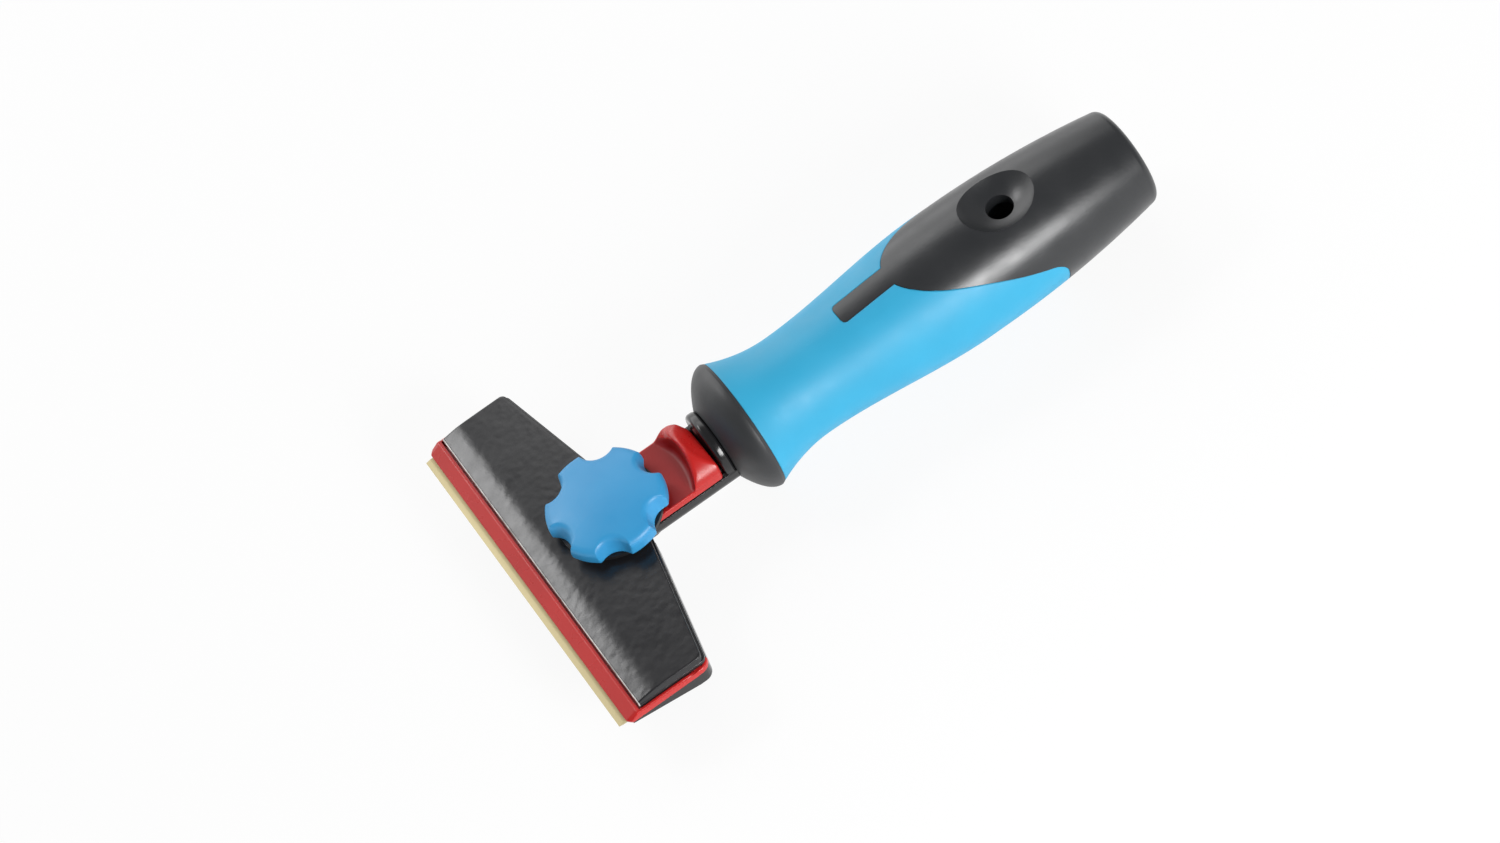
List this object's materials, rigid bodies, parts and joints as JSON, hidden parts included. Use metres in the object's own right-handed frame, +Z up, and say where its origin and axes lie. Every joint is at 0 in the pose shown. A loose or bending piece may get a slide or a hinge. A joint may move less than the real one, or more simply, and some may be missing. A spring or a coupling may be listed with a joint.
{
  "type": "window scraper",
  "caption": "Hand scraper for glass: a wide blade clamped in a T-shaped head by a star knob, a guard that slides out over the edge, and a two-tone pole-socket handle.",
  "frame": {"origin": "under the middle of the tool, on the plane that the handle rests on", "axes": "+X along the cutting edge, +Y from the cutting edge towards the handle's end, +Z up through the knob"},
  "size_m": [0.1034, 0.1932, 0.0372],
  "materials": {
    "black_casting": "semi-gloss black coating",
    "blade_steel": "satin steel with a straw-coloured film",
    "steel": "plain turned steel",
    "red_plastic": "glossy moulded red",
    "black_paint": "semi-gloss black with a light orange peel",
    "black_plastic": "plain black moulding",
    "brass": "machined",
    "blue_plastic": "satin moulded blue",
    "dark_plastic": "fine-grained dark grey moulding",
    "blue_rubber": "matt soft-touch blue"
  },
  "bodies": {
    "tool": {"frame": "black_casting", "blade": "blade_steel", "locating_pins": "steel", "clamp_bolt": "steel", "handle_core": "dark_plastic", "grip": "blue_rubber"},
    "guard": {"blade_guard": "red_plastic"},
    "clamp": {"clamp_plate": "black_paint", "knob_washer": "black_plastic"},
    "knob": {"knob": "blue_plastic", "knob_insert": "brass"}
  },
  "joints": [
    {"name": "guard_slide", "type": "slide", "parent": "tool", "child": "guard", "axis": [0, -1, 0], "range_m": [0, 0.0035]},
    {"name": "plate_lift", "type": "slide", "parent": "tool", "child": "clamp", "axis": [0, 0, 1], "range_m": [0, 0.002]},
    {"name": "knob_turn", "type": "hinge", "parent": "clamp", "child": "knob", "pos_m": [0, -0.0663, 0.022], "axis": [0, 0, 1], "range_deg": [0, 721]}
  ],
  "couplings": [
    {"joint": "knob_turn", "follows": "plate_lift", "rad_per_m": 6283.2}
  ]
}
